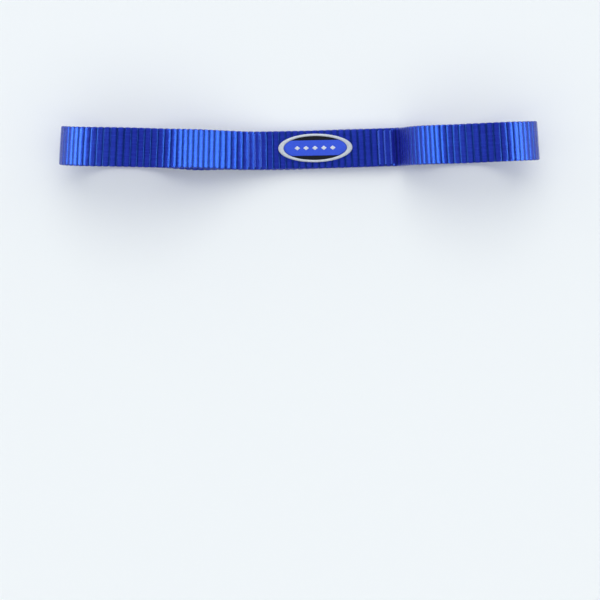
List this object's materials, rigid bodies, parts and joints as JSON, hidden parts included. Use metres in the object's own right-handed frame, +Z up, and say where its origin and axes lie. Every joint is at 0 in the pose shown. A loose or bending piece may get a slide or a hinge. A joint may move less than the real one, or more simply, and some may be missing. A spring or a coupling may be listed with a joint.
{
  "type": "webbing attachment loop",
  "caption": "Closed loop of ribbed blue one-inch webbing, lying on its back, with an oval label on its sewn overlap; the loop opens for a hook.",
  "frame": {"origin": "middle of the loop's footprint, on the surface that it lies on", "axes": "+X along the loop towards its sewn seam, +Y across the webbing towards the side that both ends bow to, +Z up, out of the labelled side"},
  "size_m": [0.308, 0.0322, 0.06],
  "materials": {
    "webbing": "ribbed satin weave",
    "label_rim": "satin embroidery",
    "label_black": "woven",
    "label_blue": "woven",
    "label_white": "embroidered",
    "thread": "twisted thread"
  },
  "bodies": {
    "back_middle": {"back_middle": "webbing"},
    "back_left_inner": {"back_left_inner": "webbing"},
    "back_left_outer": {"back_left_outer": "webbing"},
    "left_eye_heel": {"left_eye_heel": "webbing"},
    "left_eye_top": {"left_eye_top": "webbing"},
    "sewn_overlap": {"outer_tail": "webbing", "inner_tail": "webbing", "label_backing": "label_black", "label_border": "label_rim", "label_field": "label_black", "label_inlay": "label_blue", "label_diamonds": "label_white", "label_stitches": "label_rim", "tail_bar_tack_1": "thread", "tail_bar_tack_2": "thread", "tail_bar_tack_3": "thread"},
    "seam_end": {"outer_tail_end": "webbing", "inner_tail_bend": "webbing", "seam_bar_tack_1": "thread", "seam_bar_tack_2": "thread", "seam_bar_tack_3": "thread"},
    "back_right": {"back_right": "webbing"},
    "right_eye_heel": {"right_eye_heel": "webbing"},
    "right_eye_apex": {"right_eye_apex": "webbing"},
    "right_front_slope": {"right_front_slope": "webbing"}
  },
  "joints": [
    {"name": "back_left_root_bend", "type": "hinge", "parent": "back_middle", "child": "back_left_inner", "pos_m": [-0.0486, -0.00324, 0.0062], "axis": [0, -1, 0], "range_deg": [-20.7, 0]},
    {"name": "back_left_bend", "type": "hinge", "parent": "back_left_inner", "child": "back_left_outer", "pos_m": [-0.08323, -0.00243, 0.00707], "axis": [0, -1, 0], "range_deg": [-28.6, 0]},
    {"name": "left_eye_toe_bend", "type": "hinge", "parent": "back_left_outer", "child": "left_eye_heel", "pos_m": [-0.11743, -0.00129, 0.0013], "axis": [0, -1, 0], "range_deg": [0, 28.01]},
    {"name": "left_eye_heel_bend", "type": "hinge", "parent": "left_eye_heel", "child": "left_eye_top", "pos_m": [-0.14774, -0.00006, 0.01606], "axis": [0, -1, 0], "range_deg": [0, 36.6]},
    {"name": "overlap_bend", "type": "hinge", "parent": "left_eye_top", "child": "sewn_overlap", "pos_m": [-0.04391, -0.00331, 0.0208], "axis": [0, -1, 0], "range_deg": [-20.51, 0]},
    {"name": "seam_bend", "type": "hinge", "parent": "sewn_overlap", "child": "seam_end", "pos_m": [0.049, -0.00146, 0.00565], "axis": [0, -1, 0], "range_deg": [-21.2, 0]},
    {"name": "back_right_root_bend", "type": "hinge", "parent": "back_middle", "child": "back_right", "pos_m": [0.05808, -0.00112, 0.0013], "axis": [0, -1, 0], "range_deg": [0, 15.11]},
    {"name": "right_eye_toe_bend", "type": "hinge", "parent": "back_right", "child": "right_eye_heel", "pos_m": [0.13138, 0.00221, 0.00815], "axis": [0, -1, 0], "range_deg": [-35.3, 0]},
    {"name": "right_eye_heel_bend", "type": "hinge", "parent": "right_eye_heel", "child": "right_eye_apex", "pos_m": [0.15142, 0.00328, 0.03824], "axis": [0, -1, 0], "range_deg": [-21.5, 0]},
    {"name": "right_eye_crest_bend", "type": "hinge", "parent": "right_eye_apex", "child": "right_front_slope", "pos_m": [0.10462, 0.00089, 0.05524], "axis": [0, -1, 0], "range_deg": [0, 13.4]}
  ],
  "couplings": [
    {"joint": "back_left_root_bend", "follows": "left_eye_heel_bend", "ratio": -0.56557},
    {"joint": "back_left_bend", "follows": "left_eye_heel_bend", "ratio": -0.78142},
    {"joint": "left_eye_toe_bend", "follows": "left_eye_heel_bend", "ratio": 0.76503},
    {"joint": "overlap_bend", "follows": "left_eye_heel_bend", "ratio": -0.56011},
    {"joint": "seam_bend", "follows": "left_eye_heel_bend", "ratio": -0.57923},
    {"joint": "back_right_root_bend", "follows": "left_eye_heel_bend", "ratio": 0.41257},
    {"joint": "right_eye_toe_bend", "follows": "left_eye_heel_bend", "ratio": -0.96448},
    {"joint": "right_eye_heel_bend", "follows": "left_eye_heel_bend", "ratio": -0.58743},
    {"joint": "right_eye_crest_bend", "follows": "left_eye_heel_bend", "ratio": 0.36612}
  ]
}
